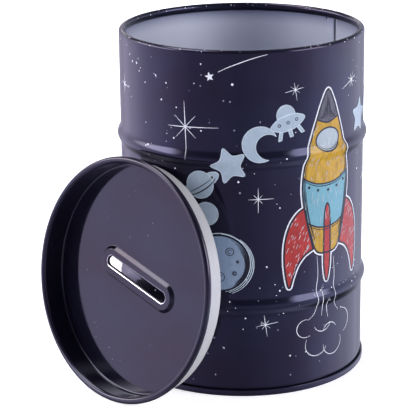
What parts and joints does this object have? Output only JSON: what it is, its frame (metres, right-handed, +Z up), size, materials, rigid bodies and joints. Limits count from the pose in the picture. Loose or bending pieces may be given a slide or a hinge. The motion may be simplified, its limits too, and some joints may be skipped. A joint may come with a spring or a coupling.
{
  "type": "tin money box",
  "caption": "Drum-shaped tinplate money box with two swaged beads, a rolled mouth, a seamed bottom and a pressed plug lid with a coin slot, lid leaning beside it.",
  "frame": {"origin": "centre of the drum's foot, on the surface it stands on", "axes": "+Z up along the drum's axis, out of its mouth; the lid leans against the drum on the -Y side, its recessed face towards -Y and slightly up"},
  "size_m": [0.1232, 0.1541, 0.17],
  "materials": {
    "printed_tin": "gloss navy print with white and coloured inks, clear varnish",
    "inside_lacquer": "semi-gloss white lacquer inside the drum and under the lid",
    "end_tin": "gloss navy lacquer",
    "lid_tin": "gloss navy lacquer with fine pale specks"
  },
  "bodies": {
    "drum": {"body_shell": "printed_tin", "bottom_end": "end_tin"},
    "lid": {"lid": "lid_tin"}
  },
  "joints": [
    {"name": "lid_pull", "type": "slide", "parent": "drum", "child": "lid", "axis": [0, -0.9845, 0.1754], "range_m": [0, 0.08]}
  ]
}
